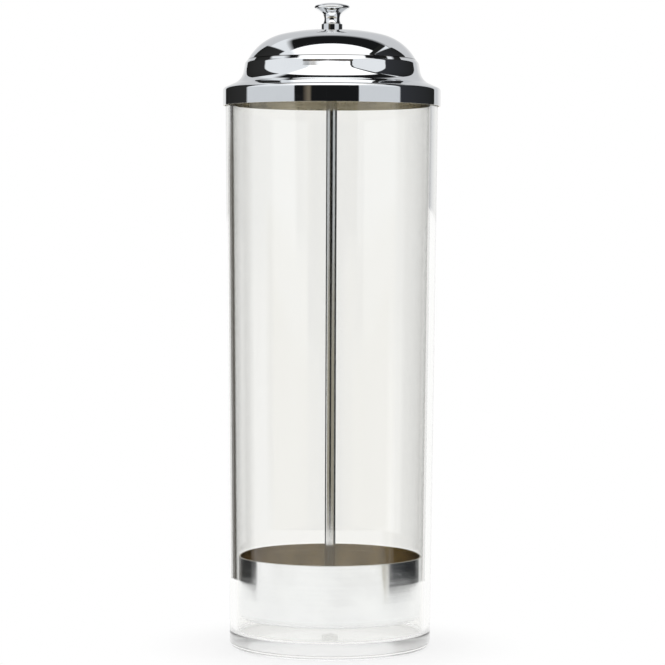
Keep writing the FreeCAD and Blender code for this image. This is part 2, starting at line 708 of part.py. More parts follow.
def check_document(parts):
    """Stops if any object failed, or any part isn't one valid solid."""
    doc.recompute()
    for item in doc.Objects:
        if "Invalid" in item.State or "Error" in item.State:
            raise RuntimeError(f"{item.Name} failed: {item.State}")
    for part in parts:
        shape = part.Shape
        if shape.isNull() or not shape.isValid() or len(shape.Solids) != 1:
            raise RuntimeError(f"{part.Label} isn't one valid solid")


def export_parts(parts):
    """Writes each part to parts/LABEL.step and prints its volume and height."""
    os.makedirs("parts", exist_ok=True)
    for part in parts:
        part.Shape.exportStep(os.path.join("parts", f"{part.Label}.step"))
        box = part.Shape.BoundBox
        print(f"{part.Label}: {part.Shape.Volume:.1f} mm3, z {box.ZMin:.2f} to {box.ZMax:.2f}")


add_sheet("Dims", DIMENSIONS, as_formula=False)
add_sheet("Fits", FITS, as_formula=True)
pieces = [
    make_jar(),
    make_lid_shell(),
    make_lid_knob(),
    make_lift_rod(),
    make_straw_cup(),
    make_washer("lid_washer", "Fits.lid_washer_height"),
    make_lock_washer("lid_lock_washer", "Fits.lid_lock_washer_height"),
    make_nut("lid_nut", "Fits.lid_nut_height"),
    make_washer("cup_top_washer", "Fits.cup_top_washer_height"),
    make_washer("cup_bottom_washer", "Fits.cup_bottom_washer_height"),
    make_nut("cup_nut", "Fits.cup_nut_height"),
]
check_document(pieces)
export_parts(pieces)
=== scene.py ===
"""Looks of a lift-lid straw dispenser: clear jar, chromed lid and knob, lifting rod and straw cup.

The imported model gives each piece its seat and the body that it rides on. Every visible piece is a
finer mesh of the same form, worked out here from sizes in millimetres and written in metres.
"""

import logging
import math
from collections.abc import Sequence
from dataclasses import dataclass
from enum import Enum
from functools import cache
from typing import Any

import bpy
import numpy as np
from mathutils import Euler, Matrix, Vector


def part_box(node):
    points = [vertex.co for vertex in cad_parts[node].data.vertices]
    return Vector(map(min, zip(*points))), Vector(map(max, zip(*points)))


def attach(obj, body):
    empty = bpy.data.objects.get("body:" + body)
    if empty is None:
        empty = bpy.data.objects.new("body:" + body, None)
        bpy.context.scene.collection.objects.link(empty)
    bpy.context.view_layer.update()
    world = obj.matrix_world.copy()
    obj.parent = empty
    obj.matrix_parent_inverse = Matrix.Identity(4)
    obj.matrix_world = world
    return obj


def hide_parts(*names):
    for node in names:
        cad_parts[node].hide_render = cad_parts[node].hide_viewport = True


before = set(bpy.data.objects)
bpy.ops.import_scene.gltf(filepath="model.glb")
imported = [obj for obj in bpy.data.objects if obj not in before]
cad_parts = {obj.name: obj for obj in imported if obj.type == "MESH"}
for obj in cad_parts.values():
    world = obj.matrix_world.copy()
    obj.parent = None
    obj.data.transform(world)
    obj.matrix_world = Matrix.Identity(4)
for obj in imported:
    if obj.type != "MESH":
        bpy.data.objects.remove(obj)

LOG = logging.getLogger("straw_dispenser")
MM = 0.001

# A studio board's inputs, and the blur of an edge that isn't given one
AXES = ("Out Axis", "Right Axis", "Up Axis")
TONES = ("Left Tone", "Right Tone")
EDGES = ("Left", "Right", "Low", "High")
BLUR = 0.03

Surface = tuple[np.ndarray, np.ndarray, np.ndarray]
Pair = tuple[float, float]
Colour = tuple[float, float, float]
Sides = tuple[float, float, float, float]
Axes = tuple[Colour, Colour, Colour]


class Body(Enum):
    """The two bodies that the slide joint parts."""

    JAR = "jar"
    LIFT = "lift"


class Slot(Enum):
    """The record's material slots."""

    JAR = "clear_jar"
    LID = "chrome_lid"
    KNOB = "chrome_knob"
    ROD = "plated_rod"
    CUP = "polished_cup"
    FASTENER = "plated_fastener"


# Half sections: rows of (radius, height) in millimetres, drawn with the material on the left


def arc(
    centre: Sequence[float], radius: float, first: float, last: float, step: float = 3.0
) -> np.ndarray:
    """Points on a circle, centre plus radius times (cos a, sin a) for evenly spaced angles a.

    Args:
        centre: The circle's centre as (radius, height).
        radius: The circle's radius.
        first: The first angle in degrees, from the outward direction towards up.
        last: The last angle in degrees; less than first runs clockwise.
        step: The widest angle between two points, in degrees.

    Returns:
        An array of points from the first angle to the last.
    """
    count = max(2, math.ceil(abs(last - first) / step) + 1)
    angles = np.radians(np.linspace(first, last, count))
    return np.asarray(centre) + radius * np.stack([np.cos(angles), np.sin(angles)], axis=1)


def eased(
    corners: Sequence[Sequence[float]],
    radii: Sequence[float],
    loop: bool = False,
    step: float = 6.0,
) -> np.ndarray:
    """A line through corners, each corner rounded by an arc tangent to both of its runs.

    An arc of radius r at a corner that turns by angle w starts r tan(w / 2) before the corner, and
    its centre lies r away from each run, on the side that the line turns to.

    Args:
        corners: The corners as (radius, height).
        radii: The arc's radius at each corner, 0 for a sharp one.
        loop: Whether the line closes on itself; if not, its two ends stay sharp.
        step: The widest angle between two points of an arc, in degrees.

    Returns:
        An array of points along the eased line.
    """
    points = np.asarray(corners, float)
    runs = []
    for index, radius in enumerate(radii):
        corner = points[index]
        if radius == 0 or (not loop and index in (0, len(points) - 1)):
            runs.append(corner[None])
            continue
        before = corner - points[index - 1]
        after = points[(index + 1) % len(points)] - corner
        before, after = before / np.linalg.norm(before), after / np.linalg.norm(after)
        turn = math.atan2(before[0] * after[1] - before[1] * after[0], before @ after)
        start = corner - before * radius * math.tan(abs(turn) / 2)
        side = math.copysign(1.0, turn)
        centre = start + side * radius * np.array([-before[1], before[0]])
        first = math.degrees(math.atan2(*(start - centre)[::-1]))
        runs.append(arc(centre, radius, first, first + math.degrees(turn), step))
    return np.concatenate(runs)


def held(section: np.ndarray, reach: float, loop: bool = False) -> np.ndarray:
    """Adds a point near each end of every long run, so that smooth shading keeps the run straight.

    Args:
        section: The points of a half section.
        reach: The distance of the added points from the run's ends.
        loop: Whether the section closes on itself.

    Returns:
        The section with its added points.
    """
    ends = np.roll(section, -1, axis=0) if loop else section[1:]
    starts = section if loop else section[:-1]
    length = np.linalg.norm(ends - starts, axis=1)
    long_runs = np.nonzero(length > 5 * reach)[0]
    along = (ends - starts)[long_runs] / length[long_runs, None] * reach
    added = np.stack([starts[long_runs] + along, ends[long_runs] - along], axis=1)
    return np.insert(section, np.repeat(long_runs + 1, 2), added.reshape(-1, 2), axis=0)


def shifted(corners: np.ndarray, depth: float) -> np.ndarray:
    """A line's corners moved to its left by a depth, so that each run stays parallel to itself.

    A corner between runs with left normals a and b moves by depth (a + b) / (1 + a . b).

    Args:
        corners: The line's corners.
        depth: The distance between the line and its copy.

    Returns:
        The copy's corners.
    """
    runs = np.diff(corners, axis=0)
    runs /= np.linalg.norm(runs, axis=1)[:, None]
    normals = np.stack([-runs[:, 1], runs[:, 0]], axis=1)
    first = np.concatenate([normals[:1], normals])
    second = np.concatenate([normals, normals[-1:]])
    spread = 1 + np.sum(first * second, axis=1)
    return corners + depth * (first + second) / spread[:, None]


# Surfaces: a grid of rows along a section and columns round the axis


def grid_corners(rows: int, columns: int, wrap_rows: bool, wrap_columns: bool) -> np.ndarray:
    """Corner numbers of a grid's four-sided faces, facing out for a section drawn as above.

    Args:
        rows: The number of rows.
        columns: The number of columns.
        wrap_rows: Whether the last row joins the first.
        wrap_columns: Whether the last column joins the first.

    Returns:
        An array with four vertex numbers for each face.
    """
    row = np.arange(rows if wrap_rows else rows - 1)[:, None]
    column = np.arange(columns if wrap_columns else columns - 1)[None]
    row_after, column_after = (row + 1) % rows, (column + 1) % columns
    near, far = row * columns, row_after * columns
    quads = [near + column, near + column_after, far + column_after, far + column]
    return np.stack(np.broadcast_arrays(*quads), axis=-1).reshape(-1, 4)


def full_turn(count: int) -> np.ndarray:
    """Evenly spaced angles round the axis, in radians."""
    return np.arange(count) * 2 * math.pi / count


def round_axis(radius: np.ndarray, height: np.ndarray | float, turns: np.ndarray) -> np.ndarray:
    """The points (r cos t, r sin t, h) in metres, from millimetres and radians."""
    high = np.broadcast_to(height, radius.shape)
    return np.stack([radius * np.cos(turns), radius * np.sin(turns), high], axis=-1) * MM


def wrapped(radius: np.ndarray, height: np.ndarray, turns: np.ndarray, loop: bool) -> Surface:
    """A closed surface round the axis, with a row of points for each radius and height.

    Args:
        radius: Radii in millimetres, by row and turn, or by row alone.
        height: Heights in millimetres, by row and turn, or by row alone.
        turns: The angles round the axis, in radians.
        loop: Whether the rows close on themselves; if not, the first and the last lie on the axis,
            and each becomes one point with triangles round it.

    Returns:
        The points in metres, the faces' corners in one row, and where each face starts in it.
    """
    shape = (len(radius), len(turns))
    wide = np.broadcast_to(radius if radius.ndim == 2 else radius[:, None], shape)
    high = np.broadcast_to(height if height.ndim == 2 else height[:, None], shape)
    points = round_axis(wide, high, turns)
    if loop:
        quads = grid_corners(*shape, wrap_rows=True, wrap_columns=True)
        return points.reshape(-1, 3), quads.ravel(), np.arange(len(quads)) * 4
    rows, columns = shape[0] - 2, shape[1]
    poles = np.stack([points[0].mean(axis=0), points[-1].mean(axis=0)])
    quads = grid_corners(rows, columns, wrap_rows=False, wrap_columns=True)
    ring = np.arange(columns)
    after = (ring + 1) % columns
    last = (rows - 1) * columns
    foot = np.stack([np.full(columns, rows * columns), after, ring], axis=1)
    top = np.stack([last + ring, last + after, np.full(columns, rows * columns + 1)], axis=1)
    corners = np.concatenate([quads.ravel(), foot.ravel(), top.ravel()])
    sizes = np.concatenate([np.full(len(quads), 4), np.full(2 * columns, 3)])
    starts = np.concatenate([[0], np.cumsum(sizes)[:-1]])
    return np.concatenate([points[1:-1].reshape(-1, 3), poles]), corners, starts


def sheet_round_axis(radius: np.ndarray, turns: np.ndarray, height: float) -> Surface:
    """A flat sheet round the axis, facing up.

    Args:
        radius: Radii in millimetres, by row and turn; the first row is the middle.
        turns: The angles round the axis, in radians.
        height: The sheet's height in millimetres.

    Returns:
        The points in metres, the faces' corners in one row, and where each face starts in it.
    """
    rings, count = radius[1:], len(turns)
    points = round_axis(rings, height, turns)
    quads = grid_corners(len(rings), count, wrap_rows=False, wrap_columns=True)[:, ::-1]
    index = np.arange(count)
    fan = np.stack([np.full(count, len(rings) * count), index, (index + 1) % count], axis=1)
    starts = np.concatenate([np.arange(len(quads)) * 4, quads.size + np.arange(count) * 3])
    points = np.concatenate([points.reshape(-1, 3), [[0.0, 0.0, height * MM]]])
    return points, np.concatenate([quads.ravel(), fan.ravel()]), starts


def add_mesh(name: str, surface: Surface, sharp: float = 40.0) -> bpy.types.Object:
    """Puts a surface into a new object at the origin, shaded smooth up to an angle.

    Args:
        name: The piece's name.
        surface: The points, corners and face starts.
        sharp: The angle in degrees from which an edge stays sharp.

    Returns:
        The new object.
    """
    points, corners, starts = surface
    mesh = bpy.data.meshes.new(name)
    mesh.vertices.add(len(points))
    mesh.vertices.foreach_set("co", points.astype(np.float32).ravel())
    mesh.loops.add(len(corners))
    mesh.loops.foreach_set("vertex_index", corners.astype(np.int32))
    mesh.polygons.add(len(starts))
    mesh.polygons.foreach_set("loop_start", starts.astype(np.int32))
    mesh.update(calc_edges=True)
    mesh.shade_smooth()
    mesh.set_sharp_from_angle(angle=math.radians(sharp))
    piece = bpy.data.objects.new(name, mesh)
    bpy.context.scene.collection.objects.link(piece)
    return piece


# Node trees


@dataclass
class Graph:
    """A node tree, with short ways to add nodes and to join them."""

    tree: bpy.types.NodeTree

    def feed(self, node: bpy.types.Node, values: dict[Any, Any]) -> None:
        """Fills a node's inputs, by name or number.

        Args:
            node: The node.
            values: For each input, a socket to join, a plain value, or a colour without its alpha.
        """
        for key, value in values.items():
            socket = node.inputs[key]
            if isinstance(value, bpy.types.NodeSocket):
                self.tree.links.new(value, socket)
            else:
                socket.default_value = (*value, 1.0) if socket.type == "RGBA" else value

    def add(
        self, kind: str, values: dict[Any, Any] | None = None, **settings: Any
    ) -> bpy.types.Node:
        """Adds a node.

        Args:
            kind: The node's type, without its ShaderNode prefix.
            values: What its inputs hold, as feed takes it.
            **settings: The node's own properties.

        Returns:
            The new node.
        """
        node = self.tree.nodes.new(f"ShaderNode{kind}")
        for key, setting in settings.items():
            setattr(node, key, setting)
        self.feed(node, values or {})
        return node

    def shares(self, vector: Any) -> Any:
        """A vector's three numbers."""
        return self.add("SeparateXYZ", {0: vector}).outputs

    def math(self, operation: str, *terms: Any, clamp: bool = False) -> bpy.types.NodeSocket:
        """Works on one or two values, and gives the result's socket."""
        node = self.add("Math", dict(enumerate(terms)), operation=operation, use_clamp=clamp)
        return node.outputs[0]

    def mix(self, share: Any, first: Any, second: Any) -> bpy.types.NodeSocket:
        """The first colour where share is 0, the second where it is 1."""
        node = self.add("Mix", {0: share, 6: first, 7: second}, data_type="RGBA")
        return node.outputs[2]

    def ramp(self, value: Any, span: Pair, out: Pair = (0.0, 1.0)) -> Any:
        """A value within a span brought smoothly onto the out range, and held beyond it."""
        values = {0: value, 1: span[0], 2: span[1], 3: out[0], 4: out[1]}
        return self.add("MapRange", values, interpolation_type="SMOOTHSTEP").outputs[0]

    def noise(self, vector: Any, scale: Any, detail: float = 3.0, rough: float = 0.5) -> Any:
        """Cloudy values from 0 to 1 about a half, at a scale in cells to the metre."""
        values = {"Vector": vector, "Scale": scale, "Detail": detail, "Roughness": rough}
        return self.add("TexNoise", values).outputs[0]


def shared_group(
    name: str, inputs: dict[str, tuple[str, Any]], outputs: dict[str, str]
) -> tuple[Graph, dict[str, Any], bpy.types.Node]:
    """Starts a node group that several materials share.

    Args:
        name: The group's name.
        inputs: Each input's name, with its socket kind and its default, None where every use of
            the group sets it.
        outputs: Each output's name, with its socket kind.

    Returns:
        The group's graph, its input sockets by name, and its output node.
    """
    tree = bpy.data.node_groups.new(name, "ShaderNodeTree")
    for label, (kind, default) in inputs.items():
        socket = tree.interface.new_socket(label, in_out="INPUT", socket_type=f"NodeSocket{kind}")
        if default is not None:
            socket.default_value = default
    for label, kind in outputs.items():
        tree.interface.new_socket(label, in_out="OUTPUT", socket_type=f"NodeSocket{kind}")
    graph = Graph(tree)
    source = tree.nodes.new("NodeGroupInput")
    sink = tree.nodes.new("NodeGroupOutput")
    return graph, {label: source.outputs[label] for label in inputs}, sink


# Scratches: how their noise is turned and drawn out, its cells to the metre, and what shows of it
SCRATCH_TURN = (0.7, 0.4, 0.2)
SCRATCH_STRETCH = (1.0, 0.04, 0.3)
SCRATCH_SCALE = 900.0
SCRATCH_SHOWN: Pair = (0.62, 0.7)
SMEAR_SHOWN: Pair = (0.3, 0.75)

# Rings: how far their noise drifts, in metres, at what scale, and what shows of it
RING_DRIFT = 0.0006
RING_DRIFT_SCALE = 40.0
RINGS_SHOWN: Pair = (0.25, 0.75)

# The least share of a direction that counts as facing a board
FACING = 0.001


@cache
def wear_group() -> bpy.types.NodeTree:
    """Handling marks: soft smears in the gloss, hairline scratches, and a slow swell of the sheet."""
    inputs = {
        "Vector": ("Vector", None),
        "Smear Scale": ("Float", 60.0),
        "Swell Scale": ("Float", 25.0),
        "Swell": ("Float", 4e-6),
        "Scratch": ("Float", 2e-7),
    }
    outputs = {"Smear": "Float", "Height": "Float"}
    graph, given, sink = shared_group("handling_marks", inputs, outputs)
    place = given["Vector"]
    smear = graph.noise(place, given["Smear Scale"], detail=5.0, rough=0.62)
    values = {"Vector": place, "Rotation": SCRATCH_TURN}
    aslant = graph.add("VectorRotate", values, rotation_type="EULER_XYZ").outputs[0]
    values = {0: aslant, 1: SCRATCH_STRETCH}
    drawn_out = graph.add("VectorMath", values, operation="MULTIPLY").outputs[0]
    lines = graph.ramp(graph.noise(drawn_out, SCRATCH_SCALE, detail=2.0), SCRATCH_SHOWN)
    swell = graph.noise(place, given["Swell Scale"], detail=1.0, rough=0.4)
    swell = graph.math("MULTIPLY", swell, given["Swell"])
    height = graph.math("ADD", swell, graph.math("MULTIPLY", lines, given["Scratch"]))
    graph.feed(sink, {"Smear": graph.ramp(smear, SMEAR_SHOWN), "Height": height})
    return graph.tree


@cache
def lathe_group() -> bpy.types.NodeTree:
    """Fine rings round the axis, as left by turning, drawing or polishing on a spindle."""
    inputs = {"Vector": ("Vector", None), "Rings": ("Float", 3000.0)}
    graph, given, sink = shared_group("spindle_rings", inputs, {"Rings": "Float"})
    right, back, up = graph.shares(given["Vector"])
    flat = graph.add("CombineXYZ", {0: right, 1: back}).outputs[0]
    radius = graph.add("VectorMath", {0: flat}, operation="LENGTH").outputs["Value"]
    drift = graph.noise(given["Vector"], RING_DRIFT_SCALE, detail=1.0)
    drift = graph.math("MULTIPLY", drift, RING_DRIFT)
    place = graph.add("CombineXYZ", {0: radius, 1: drift, 2: up}).outputs[0]
    rings = graph.noise(place, given["Rings"], detail=4.0, rough=0.7)
    graph.feed(sink, {"Rings": graph.ramp(rings, RINGS_SHOWN)})
    return graph.tree


@cache
def board_group() -> bpy.types.NodeTree:
    """Lays a flat studio board, drawn one unit away, over the colour that lies behind it.

    With the direction's shares out, right and up of the board's own axes, the direction meets the
    board's plane at right / out and up / out. The board shows between its four edges, each with a
    blur of its own, and its tone runs from its left edge to its right one.
    """
    inputs: dict[str, tuple[str, Any]] = {
        label: (kind, None)
        for kind, labels in (("Vector", ("Direction", *AXES)), ("Color", ("Behind", *TONES)))
        for label in labels
    }
    for edge in EDGES:
        inputs[edge] = ("Float", 0.0)
        inputs[f"{edge} Blur"] = ("Float", BLUR)
    graph, given, sink = shared_group("studio_board", inputs, {"Seen": "Color"})
    dots = [
        graph.add("VectorMath", {0: given["Direction"], 1: given[axis]}, operation="DOT_PRODUCT")
        for axis in AXES
    ]
    out, right, up = (node.outputs["Value"] for node in dots)
    ahead = graph.math("MAXIMUM", out, FACING)
    across, along = graph.math("DIVIDE", right, ahead), graph.math("DIVIDE", up, ahead)
    mask = graph.math("GREATER_THAN", out, FACING)
    sides = ((across, 1.0), (across, -1.0), (along, 1.0), (along, -1.0))
    for edge, (place, sign) in zip(EDGES, sides, strict=True):
        within = graph.math("MULTIPLY", graph.math("SUBTRACT", place, given[edge]), sign)
        inside = graph.math("DIVIDE", within, given[f"{edge} Blur"])
        mask = graph.math("MULTIPLY", mask, graph.math("ADD", inside, 0.5, clamp=True))
    width = graph.math("SUBTRACT", given["Right"], given["Left"])
    share = graph.math("DIVIDE", graph.math("SUBTRACT", across, given["Left"]), width, clamp=True)
    tone = graph.mix(share, given["Left Tone"], given["Right Tone"])
    graph.feed(sink, {"Seen": graph.mix(mask, given["Behind"], tone)})
    return graph.tree


# Finishes

# Painted shade in a crease: its colour, how much it covers, and its solid share of the width
CREASE_SHADE: Colour = (0.12, 0.11, 0.10)
CREASE_SHADE_COVER = 0.85
CREASE_SHADE_CORE = 0.3
BLACK: Colour = (0.0, 0.0, 0.0)
WHITE: Colour = (1.0, 1.0, 1.0)


def start_material(name: str) -> tuple[bpy.types.Material, Graph, bpy.types.Node, Any]:
    """Starts a material: its graph, its Principled shader and the object's own coordinates."""
    material = bpy.data.materials.new(name)
    material.use_nodes = True
    graph = Graph(material.node_tree)
    shader = material.node_tree.nodes["Principled BSDF"]
    place = graph.add("TexCoord").outputs["Object"]
    return material, graph, shader, place


@dataclass(frozen=True)
class Finish:
    """What every finish has: two tones that drift into each other, a gloss and handling marks.

    Heights are in metres, so a swell of a few millionths bends a reflection by a thread's width.
    """

    name: str
    tone: Colour
    deep_tone: Colour
    gloss: Pair = (0.02, 0.06)
    smear_scale: float = 60.0
    swell_scale: float = 25.0
    swell: float = 4e-6
    scratch: float = 2e-7

    def material(self) -> bpy.types.Material:
        """Builds the material."""
        raise NotImplementedError

    def marks(self, graph: Graph, vector: Any) -> tuple[Any, Any, Any]:
        """Places the shared handling marks.

        Args:
            graph: The material's graph.
            vector: The place that the marks are read at.

        Returns:
            The marks' smear and height, and the finish's tone, which drifts with the smear.
        """
        values = {
            "Vector": vector,
            "Smear Scale": self.smear_scale,
            "Swell Scale": self.swell_scale,
            "Swell": self.swell,
            "Scratch": self.scratch,
        }
        marks = graph.add("Group", values, node_tree=wear_group()).outputs
        tone = graph.mix(marks["Smear"], self.tone, self.deep_tone)
        return marks["Smear"], marks["Height"], tone


@dataclass(frozen=True)
class BrightMetal(Finish):
    """Plated or polished metal: a bright tone, handling marks and rings.

    A crease is the height and the half width, in millimetres, of a fold darkened by painted shade.
    """

    rings: float = 3000.0
    ring_height: float = 0.0
    ring_dulling: float = 0.0
    crease: Pair | None = None

    def material(self) -> bpy.types.Material:
        """Builds the material."""
        material, graph, shader, place = start_material(self.name)
        smear, relief, tone = self.marks(graph, place)
        values = {"Vector": place, "Rings": self.rings}
        rings = graph.add("Group", values, node_tree=lathe_group()).outputs["Rings"]
        relief = graph.math("ADD", relief, graph.math("MULTIPLY", rings, self.ring_height))
        dulling = graph.math("MULTIPLY", rings, self.ring_dulling)
        gloss = graph.ramp(smear, (0.0, 1.0), self.gloss)
        if self.crease:
            # Painted shade: a dark line mixed into the tone along the crease
            height, reach = (value * MM for value in self.crease)
            away = graph.math("ABSOLUTE", graph.math("SUBTRACT", graph.shares(place)[2], height))
            crease_shade = graph.ramp(away, (reach, CREASE_SHADE_CORE * reach), (0.0, CREASE_SHADE_COVER))
            tone = graph.mix(crease_shade, tone, CREASE_SHADE)
        bump = graph.add("Bump", {"Height": relief, "Distance": 1.0}).outputs[0]
        rough = graph.math("ADD", gloss, dulling)
        values = {"Metallic": 1.0, "Base Color": tone, "Roughness": rough, "Normal": bump}
        graph.feed(shader, values)
        return material


@dataclass(frozen=True)
class ClearAcrylic(Finish):
    """Clear moulded acrylic: faint flow marks, fine wiping marks, and a frosted underside.

    The frost fades in between two heights in millimetres. It scatters light and glows faintly, in
    place of the light that a ground underside would gather from a table.
    """

    name: str = "clear_acrylic"
    tone: Colour = (0.985, 0.985, 0.972)
    deep_tone: Colour = (0.972, 0.971, 0.955)
    gloss: Pair = (0.0, 0.02)
    smear_scale: float = 35.0
    swell_scale: float = 60.0
    swell: float = 1.2e-6
    scratch: float = 1e-7
    index: float = 1.49
    flow: Colour = (1.0, 1.0, 0.12)
    frost: float = 0.35
    frost_glow: float = 0.22
    frost_heights: Pair = (0.6, 0.2)

    def material(self) -> bpy.types.Material:
        """Builds the material."""
        material, graph, shader, place = start_material(self.name)
        values = {0: place, 1: self.flow}
        flowing = graph.add("VectorMath", values, operation="MULTIPLY").outputs[0]
        smear, relief, tone = self.marks(graph, flowing)
        height = graph.shares(place)[2]
        start, end = (value * MM for value in self.frost_heights)
        frost = graph.ramp(height, (start, end), (0.0, self.frost))
        lit = graph.ramp(height, (start, end), (0.0, self.frost_glow))
        values = {
            "IOR": self.index,
            "Transmission Weight": 1.0,
            "Base Color": tone,
            "Roughness": graph.math("ADD", graph.ramp(smear, (0.2, 1.0), self.gloss), frost),
            "Emission Color": graph.mix(lit, BLACK, WHITE),
            "Emission Strength": 1.0,
            "Normal": graph.add("Bump", {"Height": relief, "Distance": 1.0}).outputs[0],
        }
        graph.feed(shader, values)
        return material


# The lid's chrome, with painted shade along the crease between its band and its dome
LID_CHROME = BrightMetal(
    "lid_chrome", (0.87, 0.88, 0.89), (0.84, 0.85, 0.865), crease=(256.86, 0.3)
)
# Painted shade: the lid's inner faces get a duller copy of its chrome, darker and warmer in tone
LID_INSIDE_DULL_SHADED = BrightMetal(
    "lid_inside_dull_shaded", (0.81, 0.77, 0.67), (0.78, 0.74, 0.64), (0.12, 0.24), rings=1400.0, ring_dulling=0.08
)
KNOB_CHROME = BrightMetal(
    "knob_chrome", (0.87, 0.88, 0.89), (0.83, 0.84, 0.855), swell=5e-7, rings=5000.0, ring_height=2e-8
)
ROD_PLATING = BrightMetal(
    "rod_plating", (0.80, 0.80, 0.80), (0.74, 0.745, 0.75), (0.05, 0.12),
    swell=5e-7, rings=2500.0, ring_height=1e-7, ring_dulling=0.05,
)
CUP_STEEL = BrightMetal(
    "cup_steel", (0.94, 0.95, 0.96), (0.91, 0.92, 0.935), (0.05, 0.11),
    swell=6e-6, rings=1800.0, ring_height=3e-7, ring_dulling=0.08,
)
# Painted shade: the cup's inner faces get a duller copy of its steel, darker and warmer in tone
CUP_INSIDE_DULL_SHADED = BrightMetal(
    "cup_inside_dull_shaded", (0.81, 0.75, 0.62), (0.77, 0.71, 0.58), (0.1, 0.2), rings=1800.0, ring_dulling=0.08
)
FASTENER_PLATING = BrightMetal(
    "fastener_plating", (0.76, 0.76, 0.74), (0.68, 0.68, 0.67), (0.16, 0.3),
    smear_scale=400.0, swell_scale=300.0, swell=2e-6, scratch=6e-7, ring_height=1e-6, ring_dulling=0.08,
)
JAR_ACRYLIC = ClearAcrylic()


# Pieces

# The share below which a face is an inner one, a little under zero so that a rim keeps its finish
INNER_SHARE = -0.01


@dataclass
class Piece:
    """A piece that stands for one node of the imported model, seated where the node is."""

    name: str
    node: str
    slot: Slot
    body: Body = Body.LIFT
    finish: Finish = FASTENER_PLATING
    dull_shaded_inside: Finish | None = None
    inside_up_weight: float = 1.0

    def seat(self) -> float:
        """Height of the node's lowest point, in millimetres."""
        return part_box(self.node)[0].z / MM

    def surface(self) -> Surface:
        """The piece's surface."""
        raise NotImplementedError

    def spun(self, section: np.ndarray, segments: int, loop: bool, base: float = 0.0) -> Surface:
        """A half section raised to the seat, and by a base, and turned once round the axis."""
        height = section[:, 1] + (self.seat() + base)
        return wrapped(section[:, 0], height, full_turn(segments), loop)

    def dress(self, piece: bpy.types.Object, materials: dict[str, bpy.types.Material]) -> None:
        """Gives the mesh its finish, and its inner faces a duller copy whose darker, warmer tone is
        painted shade.

        With a face's normal split into its shares away from the axis and up, the face is an inner
        one where the outward share plus inside_up_weight times the share up is just below zero, or
        less.

        Args:
            piece: The piece's object.
            materials: The materials made so far, by finish name.
        """
        for finish in filter(None, (self.finish, self.dull_shaded_inside)):
            if finish.name not in materials:
                materials[finish.name] = finish.material()
            piece.data.materials.append(materials[finish.name])
        # Painted shade: the inner faces take the darker, warmer copy of the finish
        if self.dull_shaded_inside:
            faces = piece.data.polygons
            normal, centre = np.empty((2, len(faces) * 3), np.float32)
            faces.foreach_get("normal", normal)
            faces.foreach_get("center", centre)
            normal, away = normal.reshape(-1, 3), centre.reshape(-1, 3)[:, :2]
            outward = np.sum(normal[:, :2] * away, axis=1) / np.linalg.norm(away, axis=1)
            inner = outward + self.inside_up_weight * normal[:, 2] < INNER_SHARE
            faces.foreach_set("material_index", inner.astype(np.int32))

    def place(self, materials: dict[str, bpy.types.Material]) -> bpy.types.Object:
        """Builds the mesh, dresses it and hands it to its body.

        Args:
            materials: The materials made so far, by finish name.

        Returns:
            The finished object.
        """
        piece = add_mesh(self.name, self.surface())
        self.dress(piece, materials)
        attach(piece, self.body.value)
        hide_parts(self.node)
        LOG.info("%s: %d faces on body %s", piece.name, len(piece.data.polygons), self.body.value)
        return piece


@dataclass
class Jar(Piece):
    """The clear jar: walls that widen upwards by the mould's draft, a thick floor, eased edges."""

    rim_radius: float = 46.4
    height: float = 244.1
    draft: float = 0.57
    wall: float = 3.2
    floor: float = 6.8
    foot_round: float = 2.8
    floor_round: float = 2.0
    rim_ease: float = 0.7
    segments: int = 288

    def surface(self) -> Surface:
        """Underside, outer wall, rim, inner wall and floor as one section turned round the axis."""
        lean = math.tan(math.radians(self.draft))
        foot = self.rim_radius - self.height * lean
        bore = self.rim_radius - self.wall
        bore_floor = bore - (self.height - self.floor) * lean
        outside = [(0.0, 0.0), (foot, 0.0), (self.rim_radius, self.height)]
        inside = [(bore, self.height), (bore_floor, self.floor), (0.0, self.floor)]
        radii = [0.0, self.foot_round, self.rim_ease, self.rim_ease, self.floor_round, 0.0]
        section = held(eased(outside + inside, radii), reach=0.4)
        return self.spun(section, self.segments, loop=False)


